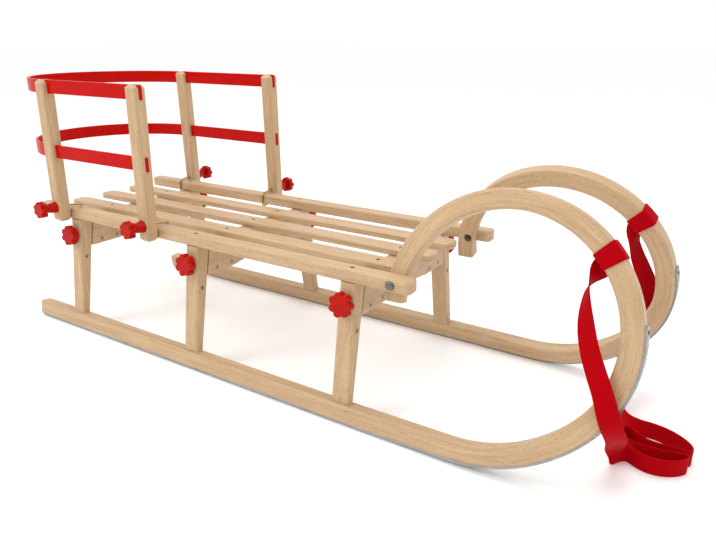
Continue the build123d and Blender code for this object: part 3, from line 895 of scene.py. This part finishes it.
def head_with_recess(name, arms, arm_length, arm_width, dome):
    """A unit head, one across and facing up its Z, with a sunk slot or cross and a tapered skirt."""
    mesh = bmesh.new()

    def row_of(corners, share, height):
        """Adds a row of corners, drawn in to a share and set at a height."""
        return [mesh.verts.new((x * share, y * share, height)) for x, y in corners]

    turns = [2 * math.pi * side / HEAD_SIDES for side in range(HEAD_SIDES)]
    circle = [(0.5 * math.cos(turn), 0.5 * math.sin(turn)) for turn in turns]
    half = arm_width / 2
    arm_corners = [(arm_length, -half), (arm_length, half)]
    if arms > 2:
        arm_corners.insert(0, (half, -half))
    outline = []
    for arm in range(arms):
        turn = 2 * math.pi * arm / arms
        for reach, offset in arm_corners:
            outline.append((
                reach * math.cos(turn) - offset * math.sin(turn),
                reach * math.sin(turn) + offset * math.cos(turn),
            ))
    rim = row_of(circle, 1.0, 0.0)
    shoulder = row_of(circle, SHOULDER_SHARE, dome)
    recess_top = row_of(outline, 1.0, dome)
    recess_floor = row_of(outline, RECESS_FLOOR_SHARE, dome - RECESS_DEPTH)
    skirt = row_of(circle, SKIRT_SHARE, -SKIRT_DEPTH)
    for first, second in ((rim, shoulder), (skirt, rim), (recess_top, recess_floor)):
        for (low, next_low), (high, next_high) in zip(closed_pairs(first), closed_pairs(second)):
            mesh.faces.new((low, next_low, next_high, high))
    mesh.faces.new(recess_floor)
    mesh.faces.new(skirt)
    edges = [mesh.edges.get(pair) for row in (shoulder, recess_top) for pair in closed_pairs(row)]
    bmesh.ops.triangle_fill(mesh, edges=edges, use_beauty=True)
    bmesh.ops.recalc_face_normals(mesh, faces=mesh.faces)
    data = bpy.data.meshes.new(name)
    mesh.to_mesh(data)
    mesh.free()
    return add_object(name, data)


def fastener_tree(material):
    """Puts a head on each point, facing along the point's own direction and sunk by a depth."""
    tree, start, end = new_group(
        "Set heads on points",
        (
            ("Points", "Geometry"),
            ("Head", "Object"),
            ("Diameter", "Float"),
            ("Sink", "Float"),
            ("Seed", "Int"),
        ),
        (("Heads", "Geometry"),),
        tree_kind="GeometryNodeTree",
    )
    head = add_node(tree, "GeometryNodeObjectInfo", {"Object": start.outputs["Head"]})
    named = add_node(tree, "GeometryNodeInputNamedAttribute", {"Name": "facing"}, data_type="FLOAT_VECTOR")
    facing = named.outputs["Attribute"]
    turned = add_node(tree, "FunctionNodeAlignEulerToVector", {"Vector": facing}, axis="Z")
    spin = add_node(tree, "FunctionNodeRandomValue", {"Seed": start.outputs["Seed"]}, data_type="FLOAT")
    highest = next(socket for socket in spin.inputs if socket.name == "Max" and socket.type == "VALUE")
    highest.default_value = 2 * math.pi
    turn = next(socket for socket in spin.outputs if socket.type == "VALUE")
    spin_vector = add_node(tree, "ShaderNodeCombineXYZ", {2: turn})
    spun = add_node(
        tree, "FunctionNodeRotateEuler",
        {"Rotation": turned.outputs[0], "Rotate By": spin_vector.outputs[0]},
        space="LOCAL",
    )
    lift = calc(tree, "MULTIPLY", start.outputs["Sink"], -1.0)
    sunk = add_node(tree, "ShaderNodeVectorMath", {0: facing, "Scale": lift}, operation="SCALE")
    moved = add_node(
        tree, "GeometryNodeSetPosition", {"Geometry": start.outputs["Points"], "Offset": sunk.outputs[0]}
    )
    size = add_node(tree, "ShaderNodeCombineXYZ", {axis: start.outputs["Diameter"] for axis in range(3)})
    placed = add_node(tree, "GeometryNodeInstanceOnPoints", {
        "Points": moved.outputs[0],
        "Instance": head.outputs["Geometry"],
        "Rotation": spun.outputs[0],
        "Scale": size.outputs[0],
    })
    real = add_node(tree, "GeometryNodeRealizeInstances", {0: placed.outputs[0]})
    finished = add_node(tree, "GeometryNodeSetMaterial", {"Geometry": real.outputs[0], "Material": material})
    feed(tree, end, {0: finished.outputs[0]})
    return tree


def set_heads(name, places, head, diameter, sink, material):
    """One mesh of like fasteners, each at a place and facing a direction."""
    mesh = bpy.data.meshes.new(name)
    mesh.from_pydata([place for place, facing in places], [], [])
    facings = mesh.attributes.new("facing", "FLOAT_VECTOR", "POINT")
    for item, (place, facing) in zip(facings.data, places):
        item.vector = Vector(facing).normalized()
    holder = add_object(f"{name}_points", mesh)
    tree = fastener_tree(material)
    modifier = holder.modifiers.new("heads", "NODES")
    modifier.node_group = tree
    values = {"Head": head, "Diameter": diameter, "Sink": sink, "Seed": HEAD_SEED}
    for item in tree.interface.items_tree:
        if item.item_type == "SOCKET" and item.in_out == "INPUT" and item.name in values:
            modifier[item.identifier] = values[item.name]
    bpy.context.view_layer.update()
    made = bpy.data.meshes.new_from_object(holder.evaluated_get(bpy.context.evaluated_depsgraph_get()))
    holder.modifiers.remove(modifier)
    bpy.data.objects.remove(holder)
    if not made.polygons:
        raise ValueError(f"{name} came out empty")
    made.name = name
    return add_object(name, made)


def board_screw_places():
    """Screw seats: above each leg's middle on every board."""
    return [
        ((middle(f"cross_bearer_{leg}", 0), middle(board, 1), high_corner(board).z), (0, 0, 1))
        for board in BOARD_NAMES
        for leg in LEG_NAMES
    ]


def barrel_bolt_places():
    """Barrel bolts in the recesses of the bearers' and legs' front faces."""
    places = []
    for leg in LEG_NAMES:
        low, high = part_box(f"cross_bearer_{leg}")
        for across in BEARER_BOLT_PLACES:
            for side_name, side in SIDES:
                places.append(((high.x, side * across, low.z + BEARER_BOLT_RISE), (1, 0, 0)))
    height = low_corner("side_rail_left").z - LEG_BOLT_DROP
    for side_name, side in SIDES:
        top_y = middle(f"side_rail_{side_name}", 1)
        foot_y = side * (HORN_PIVOT_Y + BAR_MIDDLE)
        for leg in LEG_NAMES:
            low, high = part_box(f"leg_{leg}_{side_name}")
            share = (high.z - height) / (high.z - low.z)
            across = top_y + (foot_y - top_y) * share
            places.append(((high.x - LEG_FACE_SETBACK, across, height), (1, 0, 0)))
    return places


def shoe_screw_places():
    """Countersunk screws through the shoes, under the legs, at the rear and at the horn's end."""
    places = []
    stations = [middle(f"cross_bearer_{leg}", 0) for leg in LEG_NAMES]
    stations.append(low_corner("runner_shoe_left").x + SHOE_REAR_MARGIN)
    across = HORN_PIVOT_Y + BAR_MIDDLE * math.cos(RUNNER_TILT)
    height = BAR_MIDDLE * math.sin(RUNNER_TILT)
    heading = math.radians(SHOE_END_HEADING - SHOE_END_MARGIN)
    for side_name, side in SIDES:
        facing = (0, side * math.sin(RUNNER_TILT), -math.cos(RUNNER_TILT))
        places += [((x, side * across, height), facing) for x in stations]
        inner = horn_point(heading, BAR_MIDDLE, SHOE_THICKNESS, side)
        outer = horn_point(heading, BAR_MIDDLE, -SHOE_END_RISE, side)
        places.append((outer, outer - inner))
    return places


# Operators

FLOOR_REACH = 30.0
# The lamps point at the sled's middle, this high.
AIM_HEIGHT = 0.2


class SLED_OT_stage(bpy.types.Operator):
    """Sets the camera, the pale floor and the soft light."""

    bl_idname = "sled.stage"
    bl_label = "Set the stage"

    def execute(self, context):
        scene = context.scene
        settings = scene.sled_stage
        camera_data = bpy.data.cameras.new("camera")
        camera_data.lens = settings.lens
        camera_data.sensor_width = 36.0
        camera_data.clip_start = 0.01
        camera = add_object("camera", camera_data)
        camera.location = settings.camera_place
        camera.rotation_euler = settings.camera_turn
        scene.camera = camera
        signs = ((-1, -1), (1, -1), (1, 1), (-1, 1))
        corners = [(x * FLOOR_REACH, y * FLOOR_REACH, 0) for x, y in signs]
        floor = mesh_piece("floor", corners, [(0, 1, 2, 3)], pale_floor(settings.floor), smooth=False)
        self.light("key", place=(-1.6, -1.9, 2.4), size=1.2, power=30.0)
        self.light("fill", place=(2.6, -1.2, 1.6), size=2.2, power=5.0)
        self.light("top", place=(0.1, 0.3, 3.0), size=2.0, power=34.0)
        scene.world = bpy.data.worlds.new("studio")
        scene.world.use_nodes = True
        tree = scene.world.node_tree
        feed(tree, tree.nodes["Background"], {"Color": (1, 1, 1, 1), "Strength": 1.0})
        scene.view_settings.view_transform = "Standard"
        return {"FINISHED"}

    def light(self, name, place, size, power):
        """A square soft light that points at the sled's middle."""
        data = bpy.data.lights.new(name, "AREA")
        data.shape = "SQUARE"
        data.size = size
        data.energy = power
        lamp = add_object(name, data)
        lamp.location = place
        aim = Vector((0, 0, AIM_HEIGHT)) - Vector(place)
        lamp.rotation_euler = aim.to_track_quat("-Z", "Y").to_euler()


class SLED_OT_strap(bpy.types.Operator):
    """Lays the pull strap from horn to horn and ties it round both."""

    bl_idname = "sled.strap"
    bl_label = "Lay the pull strap"

    def execute(self, context):
        sizes = context.scene.sled_strap
        material = strap_webbing(sizes)
        ribbon, line, length = strap_ribbon(material, sizes)
        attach(ribbon, "sled")
        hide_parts("strap_fall_left", "strap_fall_right", "strap_coil")
        for side_name, side in SIDES:
            loop = strap_wrap(side_name, side, material, sizes)
            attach(loop, "sled")
            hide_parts(f"strap_wrap_{side_name}")
        return {"FINISHED"}


class SLED_OT_wood(bpy.types.Operator):
    """Finishes the boards, bearers, legs, posts and bent runners in beech."""

    bl_idname = "sled.wood"
    bl_label = "Finish the wood"

    def execute(self, context):
        finish = context.scene.sled_wood
        right_angle = math.pi / 2
        bearers = [f"cross_bearer_{leg}" for leg in LEG_NAMES]
        uprights = paired("leg_", LEG_NAMES) + paired("backrest_post_", POST_NAMES)
        finish_nodes(BOARD_NAMES, beech_along("beech along the sled", (0, 0, 0), finish))
        finish_nodes(bearers, beech_along("beech across the sled", (0, 0, -right_angle), finish))
        finish_nodes(uprights, beech_along("beech upright", (0, right_angle, 0), finish))
        finish_nodes(paired("runner"), beech_bent(finish))
        return {"FINISHED"}


class SLED_OT_red_pieces(bpy.types.Operator):
    """Finishes the lacquered bands and the moulded grips in red."""

    bl_idname = "sled.red_pieces"
    bl_label = "Finish the red pieces"

    def execute(self, context):
        finish = context.scene.sled_red
        grips = paired("leg_grip_", LEG_NAMES) + paired("post_grip_", POST_NAMES)
        finish_nodes(("backrest_band_lower", "backrest_band_upper"), red_lacquer(finish))
        finish_nodes(grips, red_plastic(finish))
        return {"FINISHED"}


class SLED_OT_metal(bpy.types.Operator):
    """Finishes the steel shoes, the brass hooks and the chrome horn bolts."""

    bl_idname = "sled.metal"
    bl_label = "Finish the metal"

    def execute(self, context):
        finish = context.scene.sled_metal
        steel = bare_metal(
            "shoe steel", finish.steel, roughness=0.34, scale=260.0, stretch_by=(0.15, 1.0, 1.0)
        )
        brass = bare_metal("hook brass", finish.brass, roughness=0.26)
        chrome = bare_metal("bolt chrome", finish.chrome, roughness=0.12)
        finish_nodes(paired("runner_shoe"), steel)
        finish_nodes(paired("rail_hook_", POST_NAMES), brass)
        finish_nodes(paired("horn_bolt"), chrome)
        return {"FINISHED"}


class SLED_OT_fasteners(bpy.types.Operator):
    """Sets the board screws, the shoe screws and the barrel bolts."""

    bl_idname = "sled.fasteners"
    bl_label = "Set screws and bolts"

    def execute(self, context):
        sizes = context.scene.sled_fasteners
        finish = context.scene.sled_metal
        cross_head = head_with_recess("cross head", arms=4, arm_length=0.30, arm_width=0.11, dome=0.0)
        slot_head = head_with_recess("slot head", arms=2, arm_length=0.36, arm_width=0.13, dome=0.06)
        dark = bare_metal("screw steel", finish.screw, roughness=0.36)
        bright = bare_metal("barrel bolt steel", finish.barrel, roughness=0.24)
        for name, places, head, diameter, sink, material in (
            ("board_screws", board_screw_places(), cross_head, sizes.screw_diameter, sizes.screw_sink, dark),
            ("barrel_bolts", barrel_bolt_places(), slot_head, sizes.bolt_diameter, sizes.bolt_sink, bright),
            ("shoe_screws", shoe_screw_places(), cross_head, sizes.shoe_screw_diameter, SHOE_SINK, bright),
        ):
            piece = set_heads(name, places, head, diameter, sink, material)
            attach(piece, "sled")
        for head in (cross_head, slot_head):
            bpy.data.objects.remove(head)
        return {"FINISHED"}


class SLED_PT_panel(bpy.types.Panel):
    """Lists the sled's sizes, finishes and steps."""

    bl_label = "Horn sled"
    bl_idname = "SLED_PT_panel"
    bl_space_type = "VIEW_3D"
    bl_region_type = "UI"
    bl_category = "Sled"

    def draw(self, context):
        for name, group, operator in STEPS:
            box = self.layout.box()
            for key in group.__annotations__:
                box.prop(getattr(context.scene, name), key)
            box.operator(operator.bl_idname)


# Each step: the name of its settings on the scene, their group and its operator.
STEPS = (
    ("sled_stage", SledStageSettings, SLED_OT_stage),
    ("sled_strap", SledStrapSizes, SLED_OT_strap),
    ("sled_wood", SledWoodFinish, SLED_OT_wood),
    ("sled_red", SledRedFinish, SLED_OT_red_pieces),
    ("sled_metal", SledMetalFinish, SLED_OT_metal),
    ("sled_fasteners", SledFastenerSizes, SLED_OT_fasteners),
)
CLASSES = tuple(made for name, group, operator in STEPS for made in (group, operator)) + (SLED_PT_panel,)


def register():
    """Registers the classes and hangs the settings on the scene."""
    for group in CLASSES:
        bpy.utils.register_class(group)
    for name, group, operator in STEPS:
        setattr(bpy.types.Scene, name, bpy.props.PointerProperty(type=group))


def unregister():
    """Takes the settings and the classes away again."""
    for name, group, operator in STEPS:
        delattr(bpy.types.Scene, name)
    for group in reversed(CLASSES):
        bpy.utils.unregister_class(group)


def main():
    """Builds the sled's looks round the frame, step by step."""
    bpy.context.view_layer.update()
    register()
    bpy.ops.sled.stage()
    bpy.ops.sled.strap()
    bpy.ops.sled.wood()
    bpy.ops.sled.red_pieces()
    bpy.ops.sled.metal()
    bpy.ops.sled.fasteners()
    bpy.context.view_layer.update()


if __name__ == "__main__":
    main()
